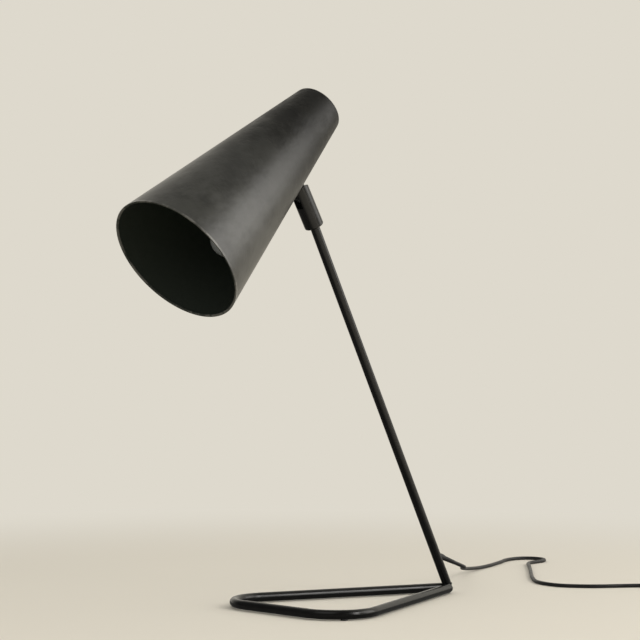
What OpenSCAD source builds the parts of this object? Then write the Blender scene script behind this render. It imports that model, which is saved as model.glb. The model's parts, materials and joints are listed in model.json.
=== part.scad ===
// Table lamp: a long cone shade that tilts on a slim leaning stem, over a closed loop of bent round bar.
// Millimetres, +Z up, the mouth of the shade toward -Y. The origin lies on the table, under the middle of the
// lamp's box without its cord.

/* [Base loop] */
// Diameter of the round bar
bar_d = 12; // [10:0.5:14]
// Half width of the loop's triangle, on the bar's centreline, before its corners are bent
loop_half = 128; // [105:1:155]
// Depth of the loop's triangle, from the front run to the back corner
loop_depth = 329; // [270:1:400]
// Bend radius of the front corners, on the centreline
front_bend = 50; // [35:1:60]
// Bend radius of the back nose, on the centreline
nose_bend = 8; // [7.5:0.5:12]
// Height of the bar above the table
pad_lift = 1; // [0.6:0.1:2]
// Diameter of a foot pad's head
pad_d = 9; // [7:0.5:10]

/* [Stem] */
// Outer diameter of the tube
stem_d = 12; // [10:0.5:14]
// Wall of the tube
stem_wall = 1.2; // [1:0.1:1.5]
// Length of the tube's axis, from the bar's centre height to the top end
stem_len = 560; // [440:5:680]
// Lean of the stem from the vertical, toward the front
stem_lean = 28; // [22:1:34]
// How far the nose of the loop reaches behind the stem's axis
nose_over = 2.5; // [1.5:0.1:4]

/* [Knuckle] */
// Diameter of the sleeve
sleeve_d = 24.5; // [22:0.5:28]
// Length of the sleeve below the pivot
sleeve_below = 45; // [40:1:60]
// Depth that the stem goes into the sleeve
stem_seat = 25; // [20:1:30]
// How much more the sleeve leans than the stem
knuckle_lean = 2.5; // [0:0.5:4]
// Depth of the slot below the pivot
slot_depth = 14; // [12:0.5:16]
// Diameter of the pivot screw
pivot_d = 5; // [4:0.5:5]
// Distance from the pivot to the shade's wall
hinge_gap = 17.2; // [16:0.1:24]

/* [Shade] */
// Length of the cone
shade_len = 306; // [255:1:370]
// Outer radius of the mouth
mouth_r = 87; // [72:1:105]
// Outer radius of the narrow end, before its edge is rounded
end_r = 32.5; // [28:0.5:40]
// Wall of the spun cone
shade_wall = 1.2; // [0.8:0.1:1.6]
// Radius of the rolled rim
rim_r = 1.3; // [1:0.1:2]
// Rounding of the narrow end's edge
end_round = 4; // [3:0.5:8]
// Slope of the shade's axis below the horizontal, at rest
shade_dip = 39; // [30:1:45]
// Place of the pivot along the shade's axis, from the mouth
pivot_t = 215; // [205:1:235]

/* [Shade bracket] */
// Thickness of the bracket's two cheeks
cheek_t = 2; // [1.5:0.1:2.2]
// Gap between the cheeks
cheek_gap = 6.4; // [6:0.1:7]
// Radius of the cheeks' round ends
eye_r = 9; // [8:0.5:10]
// Thickness of the saddle inside the shade
saddle_t = 2.5; // [2:0.1:3]
// Half width of the saddle
saddle_half = 14; // [12:0.5:16]
// Distance of each bracket screw from the middle of the cheeks
bracket_screw_y = 20; // [18:0.5:22]

/* [Lampholder and bulb] */
// Offset of the bulb's axis from the shade's, toward the underside
bulb_off = 33; // [30:0.5:35]
// Radius of the bulb
bulb_r = 22.5; // [20:0.5:24]
// Place of the bulb's tip along the shade's axis, from the mouth
bulb_tip_t = 60.5; // [50:0.5:75]
// Overall length of the bulb
bulb_len = 77; // [72:0.5:80]
// Radius of the screw cap
cap_r = 7; // [6.8:0.1:7]
// Outer radius of the lampholder
holder_r = 14; // [13.5:0.1:15]
// Diameter of the threaded nipple
nipple_d = 10; // [9:0.5:10]

/* [Cord] */
// Diameter of the cord
cord_d = 5; // [4.6:0.1:5.4]
// Place of the cord's exit along the stem
cord_exit_s = 51.2; // [45:0.1:60]
// Slope of the exit below the horizontal
cord_drop = 20; // [10:1:30]
// Length of the tapered relief at the exit
relief_len = 26; // [20:1:40]
// Radius of the coil at the middle of its turns
coil_mean_r = 28; // [27:0.5:30]
// Loops in each of the coil's two layers
coil_loops = 2; // [2:1:3]
// Clear gap between turns that lie beside or on each other
coil_gap = 0.6; // [0.5:0.1:1]

/* [Switch and plug] */
// Length of the switch
switch_len = 64; // [58:1:72]
// Width of the switch
switch_w = 26; // [24:0.5:30]
// Height of the switch
switch_h = 18; // [17:0.5:20]
// Wall of the switch's shells
switch_wall = 1.6; // [1.4:0.1:2]
// Tilt of the rocker to each side
rocker_tilt = 7; // [5:1:8]
// Width of the plug
plug_w = 35; // [33:0.5:37]
// Height of the plug
plug_h = 14; // [13:0.5:16]
// Length of the plug's body
plug_len = 34; // [30:1:40]
// Distance between the plug's pins
pin_pitch = 18.6; // [18:0.1:19]
// Diameter of a pin
pin_d = 4; // [3.8:0.1:4.2]
// Length of a pin outside the body
pin_len = 19; // [18:0.5:20]

/* [Clearances] */
// Running clearance on the radius of a pivot
run = 0.05; // [0.02:0.01:0.08]
// Side clearance between the turning faces of the hinge
side_play = 0.05; // [0.02:0.01:0.1]
// Clearance on the radius of a fastener or push fit
fit = 0.1; // [0.05:0.01:0.15]

/* [Hidden] */
$fn = 64;
eps = 0.01;
black = [0.09, 0.09, 0.09];
bright_steel = [0.72, 0.72, 0.74];
brass = [0.80, 0.66, 0.34];
ivory = [0.88, 0.86, 0.80];
dark_plastic = [0.12, 0.12, 0.12];

// Base loop, seen from above as a triangle with bent corners
half_angle = atan(loop_half / loop_depth);
corner_angle = 90 - half_angle;
bar_z = pad_lift + bar_d / 2;
nose_r = nose_bend + bar_d / 2;

// Directions in the plane of the lamp, as [x, y, z]
stem_dir = [0, -sin(stem_lean), cos(stem_lean)];
exit_dir = [0, cos(cord_drop), -sin(cord_drop)];
cone_angle = atan((mouth_r - end_r) / shade_len);
knuckle_dir = [0, -sin(stem_lean + knuckle_lean), cos(stem_lean + knuckle_lean)];
sleeve_s = stem_len - stem_seat;
pivot_from_foot = sleeve_s * stem_dir + sleeve_below * knuckle_dir;
pivot_r = mouth_r - pivot_t * tan(cone_angle) + hinge_gap / cos(cone_angle);
rim_centre_r = mouth_r - rim_r * tan(cone_angle) - rim_r / cos(cone_angle);

// The front of the lamp is the top of the shade's rim, and its back the nose of the loop
mouth_from_foot_y = pivot_from_foot[1] - pivot_r * sin(shade_dip) - pivot_t * cos(shade_dip);
front_from_foot = mouth_from_foot_y - rim_centre_r * sin(shade_dip) + rim_r * (cos(shade_dip) - 1);
foot = [0, -(front_from_foot + nose_over) / 2, bar_z];
pivot = foot + pivot_from_foot;
mouth = pivot
    - pivot_r * [0, sin(shade_dip), -cos(shade_dip)]
    - pivot_t * [0, cos(shade_dip), sin(shade_dip)];
nose_centre = [0, foot[1] + nose_over - nose_r, bar_z];
front_y = nose_centre[1] + nose_bend / sin(half_angle) - loop_depth;
corner_centre = [loop_half - front_bend / tan(corner_angle / 2), front_y + front_bend, bar_z];
side_start = corner_centre + front_bend * [cos(half_angle), sin(half_angle), 0];
side_end = nose_centre + nose_bend * [cos(half_angle), sin(half_angle), 0];

// How far a straight run reaches into a bend, and how much thinner the bend is
bend_lap = 0.5;
bend_thinning = 0.2;

// Foot pads
pad_head_h = 2.4;
pad_spigot_d = 4;
pad_spigot_h = 6;
corner_mid = (half_angle - 90) / 2;
pad_places = [
    nose_centre + [0, nose_bend, -bar_z],
    corner_centre + [front_bend * cos(corner_mid), front_bend * sin(corner_mid), -bar_z]
];

// Knuckle: the ears lie outside the washers, and the washers outside the cheeks
sleeve_r = sleeve_d / 2;
sleeve_round = 2;
cheek_out = cheek_gap / 2 + cheek_t;
washer_t = 0.5;
washer_d = 16;
slot_half = cheek_out + washer_t + 2 * side_play;
ear_thread_end = sleeve_r - 2.2;
head_recess = 3.6;
head_d = 9;
spring_t = 0.8;
grub_d = 5;
grub_s = sleeve_s + 12;

// Shade bracket, in the hinge's frame: Y along the wall toward the narrow end, Z into the shade
saddle_back = 28;
saddle_front = -34;
saddle_in = hinge_gap + shade_wall + saddle_t;
bracket_screw_d = 4;
bracket_head_d = 7.4;
bracket_head_h = 1.75;
lead_d = 4;
lead_y = -5.5;
bush_d = 6.2;
bush_flange_d = 9;
bush_flange_t = 1;
bush_seat = saddle_in + 0.3;
lug_t = 181;
lug_thick = 2.5;
lug_r = 13;

// Lampholder, as places along the shade's axis from the mouth
holder_mouth_t = 112;
holder_joint_t = 150;
holder_top_t = 177;
nipple_in_t = 168;
nipple_out_t = 191;
nipple_bore = 7.2;
nut_af = 14;
nut_t = 3;
lock_t = 1;
insulator_t = 9;
bulb_end_t = bulb_tip_t + bulb_len;
bulb_mid_t = bulb_tip_t + bulb_r;
cap_start_t = bulb_end_t - 24.5;
cap_end_t = bulb_end_t - 4.5;
glass_t = 0.8;
neck_r = cap_r - 0.4;

// Lead in the shade: out of the bush, round one bend, down the nipple
lead_bend = 10;
lead_reach = (pivot_r - lead_y * sin(cone_angle) - bulb_off) / cos(cone_angle);
lead_tangent = lead_bend * tan((90 - cone_angle) / 2);
lead_turn_t = pivot_t + lead_y * cos(cone_angle) - lead_reach * sin(cone_angle) - lead_tangent;

// Cord: the exit, then points on the table chosen by hand
cord_r = cord_d / 2;
cord_z = cord_r + 0.1;
cord_sides = 8;
cord_steps = 2;
exit_point = foot + cord_exit_s * stem_dir;
relief_start = 12.5;
relief_end = relief_start + relief_len;
grommet_d = 8.4;
exit_hole_d = 7;
cord_start = exit_point + relief_end * exit_dir;
entry_z = 9;
switch_at = [243, 527, 0];
plug_at = [388, 476, 0];
plug_relief_len = 24;
plug_z = plug_h / 2;
coil_at = [304, 450, 0];
coil_pitch = cord_d + coil_gap;
coil_out_r = coil_mean_r + coil_pitch * coil_loops / 2;
coil_end_len = cord_d;
coil_turn_steps = 24;
coil_sides = 6;
coil_start = coil_at + [coil_out_r, coil_end_len, cord_z];
coil_finish = coil_at + [coil_out_r, -coil_end_len, cord_z + coil_pitch];
run_points = concat(
    [cord_start, cord_start + 12 * exit_dir],
    [
        [-3, 301, 31.8], [-10, 311, 29.6], [-23, 324, 27.4], [-58, 361, 21.5], [-97, 406, 14], [-129, 454, 7],
        [-148, 500, 3.2], [-161, 540, cord_z], [-177, 580, cord_z], [-191.5, 612, cord_z],
        [-193.5, 640, cord_z], [-180, 657, cord_z], [-159, 657.5, cord_z], [-145, 641, cord_z],
        [-140, 603, cord_z], [-114, 572, cord_z], [-82, 536, cord_z], [-49, 498, cord_z],
        [-14, 459, cord_z], [24, 426, cord_z], [66, 418, cord_z], [103, 439, cord_z],
        [133, 477, cord_z], [158, 505, 3.2], [178, 520.5, 6]
    ],
    [switch_at + [-switch_len / 2 - 12, 0, entry_z], switch_at + [-switch_len / 2, 0, entry_z]]
);
link_points = concat(
    [switch_at + [switch_len / 2, 0, entry_z], switch_at + [switch_len / 2 + 12, 0, entry_z]],
    [[308, 522, 5], [326, 508, cord_z], [335, 488, cord_z]],
    [coil_start + [0, 12, 0], coil_start]
);
tail_points = concat(
    [coil_finish, coil_finish + [0, -10, 0]],
    [
        [339.4, 420, 7], [345.2, 410.4, 5.4], [355, 404.6, 3.6], [366, 403.4, 2.8], [377, 408, 3.2],
        [384.8, 417, 4.6], [388, 428, 6.2]
    ],
    [plug_at + [0, -plug_relief_len - 12, plug_z], plug_at + [0, -plug_relief_len, plug_z]]
);

// Switch and plug details
switch_round = 9;
parting_z = entry_z;
rocker_z = 13.2;
rocker_r = 10.8;
rocker_w = 10.6;
rocker_pin_d = 2.4;
rocker_lug_t = 1.8;
window_half = 10.7;
window_w = rocker_w + 0.8;
switch_screw_x = 22;
switch_screw_y = 6;
switch_screw_d = 2.5;
post_d = 5.5;
sleeve_len = 10;
pin_root = 6;

// ---- Frames ----

// Up the stem: +Z along the axis, +Y to the back
module at_stem(s) {
    translate(foot + s * stem_dir) rotate([stem_lean, 0, 0]) children();
}

// At the pivot, along the sleeve: +Z up its axis, +Y to the back
module at_knuckle() {
    translate(pivot) rotate([stem_lean + knuckle_lean, 0, 0]) children();
}

// Along the shade's axis: +Z from the mouth to the narrow end, +Y to the underside
module in_shade() {
    translate(mouth) rotate([shade_dip - 90, 0, 0]) children();
}

// At the pivot: +Y along the shade's wall to the narrow end, +Z into the shade
module in_hinge() {
    translate(pivot) rotate([shade_dip + cone_angle, 0, 0]) children();
}

// On the bulb's axis, at a distance from the mouth
module on_bulb(t = 0) {
    in_shade() translate([0, bulb_off, t]) children();
}

// Along the cord's exit: +Z outward from the stem's axis
module at_exit(d = 0) {
    translate(exit_point + d * exit_dir) rotate([-90 - cord_drop, 0, 0]) children();
}

module both_sides() {
    children();
    mirror([1, 0, 0]) children();
}

// A cylinder along X
module rod_x(d, x0, x1) {
    translate([x0, 0, 0]) rotate([0, 90, 0]) cylinder(d = d, h = x1 - x0);
}

module ring(r_out, r_in, z0, z1) {
    translate([0, 0, z0]) difference() {
        cylinder(r = r_out, h = z1 - z0);
        translate([0, 0, -1]) cylinder(r = r_in, h = z1 - z0 + 2);
    }
}

// A profile drawn in Y and Z, as thick as X runs from x0 to x1
module plate_yz(x0, x1) {
    translate([x0, 0, 0]) rotate([90, 0, 90]) linear_extrude(x1 - x0) children();
}

// ---- Base and stem ----

// The straight runs reach a little way into the bends, which are drawn in by a hair
module loop_solid() {
    straight = norm(side_end - side_start);
    bend_d = bar_d - bend_thinning;
    translate(nose_centre) rotate([0, 0, half_angle])
        rotate_extrude(angle = 180 - 2 * half_angle) translate([nose_bend, 0]) circle(d = bend_d);
    both_sides() {
        translate(corner_centre) rotate([0, 0, -90])
            rotate_extrude(angle = 90 + half_angle) translate([front_bend, 0]) circle(d = bend_d);
        translate(side_start) rotate([-90, 0, half_angle]) translate([0, 0, -bend_lap])
            cylinder(d = bar_d, h = straight + 2 * bend_lap);
    }
    translate([0, front_y, bar_z]) rod_x(bar_d, -corner_centre[0] - bend_lap, corner_centre[0] + bend_lap);
}

module at_pads() {
    translate(pad_places[0]) children();
    translate(pad_places[1]) children();
    mirror([1, 0, 0]) translate(pad_places[1]) children();
}

module base_loop() {
    color(black) difference() {
        loop_solid();
        at_pads() cylinder(d = pad_spigot_d + 2 * fit, h = pad_spigot_h + pad_lift);
    }
}

module foot_pads() {
    color(dark_plastic) {
        difference() {
            at_pads() cylinder(d = pad_d, h = pad_head_h);
            loop_solid();
        }
        at_pads() cylinder(d = pad_spigot_d, h = pad_spigot_h);
    }
}

// The tube's foot is solid, coped over the bar and ground flush with the outside of the nose
module stem_tube() {
    solid_foot = 14;
    color(black) difference() {
        at_stem(0) translate([0, 0, -bar_d]) cylinder(d = stem_d, h = stem_len + bar_d);
        at_stem(solid_foot) cylinder(d = stem_d - 2 * stem_wall, h = stem_len);
        loop_solid();
        translate([-stem_d, foot[1] - 3 * stem_d, -stem_d]) cube([2 * stem_d, 6 * stem_d, stem_d + bar_z]);
        translate([0, nose_centre[1], 0]) ring(nose_r + 4 * stem_d, nose_r, 0, bar_z + stem_d);
        at_exit() cylinder(d = exit_hole_d, h = 2 * stem_d);
    }
}

// The cord inside the stem, from the exit up to the floor of the knuckle's slot
module supply_lead() {
    color(black) {
        at_exit() cylinder(d = cord_d, h = relief_start);
        translate(exit_point) sphere(d = cord_d + bend_thinning);
        at_stem(cord_exit_s) cylinder(d = cord_d, h = sleeve_s + sleeve_below - slot_depth - cord_exit_s);
    }
}

module cord_grommet() {
    wall_seat = 5;
    color(dark_plastic) difference() {
        union() {
            difference() {
                at_exit(wall_seat) cylinder(d = grommet_d, h = relief_start - wall_seat);
                at_stem(0) cylinder(d = stem_d, h = stem_len);
            }
            at_exit(wall_seat) cylinder(d = exit_hole_d - fit, h = relief_start - wall_seat);
        }
        at_exit() cylinder(d = cord_d + fit, h = relief_start + 1);
    }
}

// Tapered relief with a root collar and rings of grooves
module cord_relief() {
    root_r = 3.4;
    tip_r = cord_r + 0.15;
    grooves = 5;
    groove_w = 1.2;
    groove_deep = 0.4;
    collar = 2.5;
    pitch = (relief_len - collar - 4) / grooves;
    color(dark_plastic) difference() {
        at_exit(relief_start) {
            cylinder(r = root_r + 0.5, h = collar);
            cylinder(r1 = root_r, r2 = tip_r, h = relief_len);
        }
        at_stem(0) cylinder(d = stem_d, h = stem_len);
        for (i = [0 : grooves - 1]) {
            z = collar + 1.5 + i * pitch;
            groove_r = root_r + (tip_r - root_r) * z / relief_len - groove_deep;
            at_exit(relief_start) ring(root_r + 2, groove_r, z, z + groove_w);
        }
    }
}

// ---- Knuckle ----

// Round sleeve on the stem's top, slotted into two ears that are rounded about the pivot. Its bores follow
// the stem, so the sleeve leans a little more than the stem does.
module knuckle_sleeve() {
    foot_z = -sleeve_below;
    color(black) difference() {
        at_knuckle() difference() {
            intersection() {
                rotate_extrude() {
                    translate([0, foot_z + sleeve_round]) square([sleeve_r, sleeve_below + sleeve_r]);
                    translate([0, foot_z]) square([sleeve_r - sleeve_round, sleeve_round + 1]);
                    translate([sleeve_r - sleeve_round, foot_z + sleeve_round]) circle(r = sleeve_round);
                }
                union() {
                    rod_x(sleeve_d, -sleeve_d, sleeve_d);
                    translate([-sleeve_d, -sleeve_d, foot_z - 1])
                        cube([2 * sleeve_d, 2 * sleeve_d, sleeve_below + 1]);
                }
            }
            translate([-slot_half, -sleeve_d, -slot_depth])
                cube([2 * slot_half, 2 * sleeve_d, 2 * sleeve_d]);
            rod_x(pivot_d + 2 * run, -sleeve_d, ear_thread_end);
            rod_x(head_d + 2 * fit, -sleeve_d, head_recess - sleeve_r);
        }
        at_stem(sleeve_s - 3) cylinder(d = stem_d + fit, h = stem_seat + 3);
        at_stem(sleeve_s) cylinder(d = cord_d + 3, h = sleeve_below - slot_depth / 2);
        at_stem(grub_s) rotate([-90, 0, 0]) cylinder(d = grub_d + fit, h = sleeve_d);
    }
}

module sleeve_grub_screw() {
    socket_af = 2.5;
    tip = stem_d / 2 + 0.02;
    face = sleeve_r - 1.2;
    color(bright_steel) at_stem(grub_s) rotate([-90, 0, 0]) difference() {
        translate([0, 0, tip]) cylinder(d = grub_d, h = face - tip);
        translate([0, 0, face - 2.4]) cylinder(d = socket_af / cos(30), h = 4, $fn = 6);
    }
}

module pivot_screw() {
    socket_af = 3;
    seat = head_recess - sleeve_r - spring_t;
    face = 0.3 - sleeve_r;
    color(bright_steel) at_knuckle() difference() {
        union() {
            rod_x(head_d, face, seat);
            rod_x(pivot_d, seat - eps, ear_thread_end - 0.3);
        }
        translate([face - 1, 0, 0]) rotate([0, 90, 0]) cylinder(d = socket_af / cos(30), h = 2.6, $fn = 6);
    }
}

module spring_washer() {
    color(bright_steel) at_knuckle() translate([head_recess - sleeve_r - spring_t, 0, 0])
        rotate([0, 90, 0]) ring(head_d / 2 - 0.2, pivot_d / 2 + run, 0, spring_t);
}

module friction_washers() {
    color(ivory) at_knuckle() both_sides() translate([cheek_out + side_play, 0, 0])
        rotate([0, 90, 0]) ring(washer_d / 2, pivot_d / 2 + run, 0, washer_t);
}

// ---- Shade ----

// Half profile of the cone, drawn in by an inset, with its narrow end's edge rounded
module cone_profile(inset) {
    edge_t = shade_len - end_round;
    edge_r = mouth_r - edge_t * tan(cone_angle) - end_round / cos(cone_angle);
    round_r = end_round - inset;
    mouth_in = mouth_r - inset / cos(cone_angle);
    polygon([
        [0, 0],
        [mouth_in, 0],
        [edge_r + round_r * cos(cone_angle), edge_t + round_r * sin(cone_angle)],
        [edge_r, edge_t],
        [0, edge_t]
    ]);
    translate([edge_r, edge_t]) circle(r = round_r);
    translate([0, edge_t - eps]) square([edge_r, round_r + eps]);
}

module cone_solid(inset) {
    in_shade() rotate_extrude($fn = 180) intersection() {
        cone_profile(inset);
        square([mouth_r, shade_len]);
    }
}

// Bracket screw: countersunk head flush with the shade, shank into the saddle
module bracket_screw_shape(grow) {
    translate([0, 0, hinge_gap + 0.05]) {
        cylinder(r1 = bracket_head_d / 2 + grow, r2 = bracket_screw_d / 2 + grow, h = bracket_head_h);
        cylinder(r = bracket_screw_d / 2 + grow, h = saddle_in - hinge_gap + 1);
    }
}

// Hole for a bracket screw, open to the outside of the shade
module bracket_screw_hole() {
    bracket_screw_shape(fit);
    cylinder(r = bracket_head_d / 2 + fit, h = hinge_gap + 0.06);
}

module at_bracket_screws() {
    for (side = [-1, 1])
        in_hinge() translate([0, side * bracket_screw_y, 0]) children();
}

module shade() {
    slot_x = cheek_out + fit;
    slot_y = eye_r + fit;
    color(black) difference() {
        union() {
            difference() {
                cone_solid(0);
                in_shade() rotate_extrude($fn = 180) intersection() {
                    translate([0, -1]) square([mouth_r, shade_len]);
                    union() {
                        cone_profile(shade_wall);
                        translate([0, -2]) square([mouth_r - shade_wall / cos(cone_angle), 2 + eps]);
                    }
                }
            }
            in_shade() rotate_extrude($fn = 180) translate([rim_centre_r, rim_r]) circle(r = rim_r);
        }
        in_hinge() translate([-slot_x, -slot_y, eye_r]) cube([2 * slot_x, 2 * slot_y, 3 * eye_r]);
        at_bracket_screws() bracket_screw_hole();
    }
}

// Saddle on the inside of the cone, two cheeks out to the pivot, and a lug that carries the lampholder
module shade_bracket() {
    head_step = 0.9;
    color(black) difference() {
        union() {
            intersection() {
                difference() {
                    cone_solid(shade_wall + fit);
                    cone_solid(shade_wall + saddle_t);
                }
                in_hinge() translate([-saddle_half, saddle_front, hinge_gap - 5])
                    cube([2 * saddle_half, saddle_back - saddle_front, 25]);
            }
            intersection() {
                cone_solid(shade_wall + fit);
                in_shade() translate([0, 0, lug_t]) linear_extrude(lug_thick) {
                    translate([0, bulb_off]) circle(r = lug_r);
                    translate([-lug_r, bulb_off]) square([2 * lug_r, mouth_r]);
                }
            }
            in_hinge() both_sides() plate_yz(cheek_gap / 2, cheek_out) {
                circle(r = eye_r);
                translate([-eye_r, 0]) square([2 * eye_r, saddle_in]);
            }
        }
        in_hinge() rod_x(pivot_d + 2 * run, -eye_r, eye_r);
        in_hinge() translate([0, lead_y, hinge_gap]) cylinder(d = bush_d + fit, h = 20);
        on_bulb(lug_t - 1) cylinder(d = nipple_d + 2 * fit, h = lug_thick + 2);
        at_bracket_screws() {
            cylinder(r = bracket_screw_d / 2 + fit, h = saddle_in + 3);
            cylinder(r = bracket_head_d / 2 - head_step, h = hinge_gap + bracket_head_h + fit);
        }
    }
}

module bracket_screws() {
    color(black) at_bracket_screws() bracket_screw_shape(0);
}

module pivot_spacer() {
    color(bright_steel) in_hinge() rotate([0, 90, 0])
        ring(pivot_d / 2 + 1.2, pivot_d / 2 + run, -cheek_gap / 2, cheek_gap / 2);
}

module lead_bush() {
    color(dark_plastic) in_hinge() translate([0, lead_y, 0]) {
        ring(bush_d / 2, lead_d / 2 + fit / 2, saddle_in - saddle_t, bush_seat + eps);
        ring(bush_flange_d / 2, lead_d / 2 + fit / 2, bush_seat, bush_seat + bush_flange_t);
    }
}

module shade_lead() {
    start_z = 4;
    color(dark_plastic) {
        in_hinge() translate([0, lead_y, start_z])
            cylinder(d = lead_d, h = lead_reach - lead_tangent - start_z + bend_lap);
        in_shade() translate([0, bulb_off + lead_bend, lead_turn_t]) rotate([90, 0, 90])
            rotate([0, 0, 90 + cone_angle]) rotate_extrude(angle = 90 - cone_angle)
            translate([lead_bend, 0]) circle(d = lead_d - bend_thinning);
        on_bulb(nipple_in_t) cylinder(d = lead_d, h = lead_turn_t - nipple_in_t + bend_lap);
    }
}

// ---- Lampholder ----

module holder_nipple() {
    color(brass) on_bulb() ring(nipple_d / 2, nipple_bore / 2, nipple_in_t, nipple_out_t);
}

module hex_nut(t, thick) {
    on_bulb(t) difference() {
        cylinder(d = nut_af / cos(30), h = thick, $fn = 6);
        translate([0, 0, -1]) cylinder(d = nipple_d + 2 * run, h = thick + 2);
    }
}

module nipple_nuts() {
    color(brass) {
        hex_nut(holder_top_t, lug_t - holder_top_t);
        hex_nut(lug_t + lug_thick + lock_t, nut_t);
    }
}

module lock_washer() {
    color(bright_steel) on_bulb(lug_t + lug_thick) ring(nut_af / 2 + 0.5, nipple_d / 2 + fit, 0, lock_t);
}

// Half profile of the cap: straight skirt, round shoulder and boss
module cap_profile(inset) {
    shoulder = 12 - inset;
    skirt_t = 10;
    square([holder_r - inset, skirt_t]);
    translate([holder_r - 12, skirt_t]) intersection() {
        circle(r = shoulder);
        translate([-holder_r, 0]) square([2 * holder_r, shoulder]);
    }
    square([holder_r - 12, skirt_t + shoulder]);
}

module holder_cap() {
    boss_r = 8;
    cap_wall = 1.6;
    color(dark_plastic) on_bulb(holder_joint_t) difference() {
        rotate_extrude() {
            difference() {
                intersection() {
                    cap_profile(0);
                    square([holder_r, holder_top_t]);
                }
                translate([0, -eps]) cap_profile(cap_wall);
            }
            translate([0, nipple_in_t - holder_joint_t]) square([boss_r, holder_top_t - nipple_in_t]);
        }
        cylinder(d = nipple_d + 2 * run, h = holder_top_t);
        cylinder(r = 3, h = holder_top_t);
    }
}

module holder_insulator() {
    post_r = 2.2;
    color(ivory) on_bulb(holder_joint_t - insulator_t) difference() {
        cylinder(r = holder_r - 2.4, h = insulator_t - 2 * eps);
        for (x = [-6, 6]) translate([x, 0, 3]) cylinder(r = post_r, h = insulator_t);
    }
}

module holder_barrel() {
    lip = 2;
    mouth_out_r = holder_r - 0.8;
    color(dark_plastic) on_bulb(holder_mouth_t) rotate_extrude() difference() {
        polygon([
            [cap_r + 1.6, 0],
            [mouth_out_r, 0],
            [holder_r, holder_joint_t - holder_mouth_t - 8],
            [holder_r, holder_joint_t - holder_mouth_t],
            [cap_r + 1.6, holder_joint_t - holder_mouth_t]
        ]);
        translate([0, lip]) square([holder_r - 2.2, holder_joint_t]);
    }
}

module screw_shell() {
    shell_t = 0.5;
    shell_in = cap_r + 0.15;
    top = holder_joint_t - insulator_t;
    color(brass) on_bulb() {
        ring(shell_in + shell_t, shell_in, holder_mouth_t + 4, top);
        ring(shell_in + 2, shell_in, top - shell_t, top);
    }
}

module centre_contact() {
    top = holder_joint_t - insulator_t;
    color(brass) on_bulb() {
        translate([0, 0, bulb_end_t + run]) cylinder(r = 2.2, h = top - bulb_end_t - run);
        translate([-2, 0, top - 0.6]) cube([4, 5, 0.6]);
    }
}

// ---- Bulb ----

// Half profile of the envelope: a ball that runs straight into the neck, along the common tangent
module glass_profile(inset) {
    ball = bulb_r - inset;
    neck = neck_r - inset;
    rise = cap_start_t - bulb_mid_t;
    reach = norm([neck, rise]);
    tangent = atan2(rise, neck) - acos(ball / reach);
    translate([0, bulb_mid_t]) intersection() {
        circle(r = ball, $fn = 96);
        translate([0, -bulb_r]) square([bulb_r, 2 * bulb_r]);
    }
    polygon([
        [0, bulb_mid_t],
        [ball * cos(tangent), bulb_mid_t + ball * sin(tangent)],
        [neck, cap_start_t],
        [neck, cap_start_t + 5],
        [0, cap_start_t + 5]
    ]);
}

module bulb_glass() {
    color([0.85, 0.86, 0.84, 0.5]) on_bulb() rotate_extrude() difference() {
        glass_profile(0);
        glass_profile(glass_t);
    }
}

module bulb_cap() {
    cap_wall = 0.3;
    color(bright_steel) on_bulb() difference() {
        translate([0, 0, cap_start_t]) cylinder(r = cap_r, h = cap_end_t - cap_start_t);
        translate([0, 0, cap_start_t - 1]) cylinder(r = cap_r - cap_wall, h = cap_end_t - cap_start_t + 2);
    }
}

module bulb_insulator() {
    color([0.05, 0.05, 0.07]) on_bulb(cap_end_t - 2) {
        cylinder(r = cap_r - 0.35, h = 2);
        translate([0, 0, 2 - eps]) cylinder(r1 = cap_r - 0.35, r2 = 3.2, h = 3);
    }
}

module bulb_contact() {
    color(bright_steel) on_bulb(cap_end_t + 3 - eps) cylinder(r1 = 2.8, r2 = 2.2, h = 1.5);
}

// The glass mount inside: a flare on the neck, a stem and the two lead wires
module bulb_mount() {
    flare_t = cap_start_t + 3;
    stem_top = bulb_mid_t + 8;
    color([0.8, 0.82, 0.8]) on_bulb() {
        translate([0, 0, flare_t]) cylinder(r = neck_r - glass_t - 0.1, h = 1.5);
        translate([0, 0, stem_top]) cylinder(r = 2.4, h = flare_t - stem_top + eps);
    }
}

// Two posts and a bowed wire between their tips
module filament() {
    span = 9;
    post_len = 12;
    wire_r = 0.4;
    color(bright_steel) on_bulb(bulb_mid_t) {
        both_sides() {
            translate([span, 0, 0]) rotate([0, atan2(-span + 1.6, post_len), 0])
                cylinder(r = wire_r, h = norm([span - 1.6, post_len]));
            translate([span, 0, 0]) sphere(r = wire_r * 1.5);
        }
        rotate([90, 0, 0]) rotate([0, 0, 180]) rotate_extrude(angle = 180)
            translate([span, 0]) circle(r = wire_r);
    }
}

// ---- Cord ----

// A point on the curve through four neighbours, between the second and the third
function between(a, b, c, d, t) =
    let (square = 2 * a - 5 * b + 4 * c - d, cube = 3 * b - a - 3 * c + d)
    0.5 * (2 * b + (c - a) * t + square * t * t + cube * t * t * t);

// A smooth path through the points, straight from the first to the second and between the last two
function smooth(p, steps) =
    let (n = len(p))
    concat(
        [p[0]],
        [
            for (i = [1 : n - 3], k = [0 : steps - 1])
                between(p[i - 1], p[i], p[i + 1], p[i + 2], k / steps)
        ],
        [p[n - 2], p[n - 1]]
    );

function unit(v) = v / norm(v);

// Direction of the path at point i, along the neighbours on both sides
function heading(p, i) =
    unit(p[min(i + 1, len(p) - 1)] - p[max(i - 1, 0)]);

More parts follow.
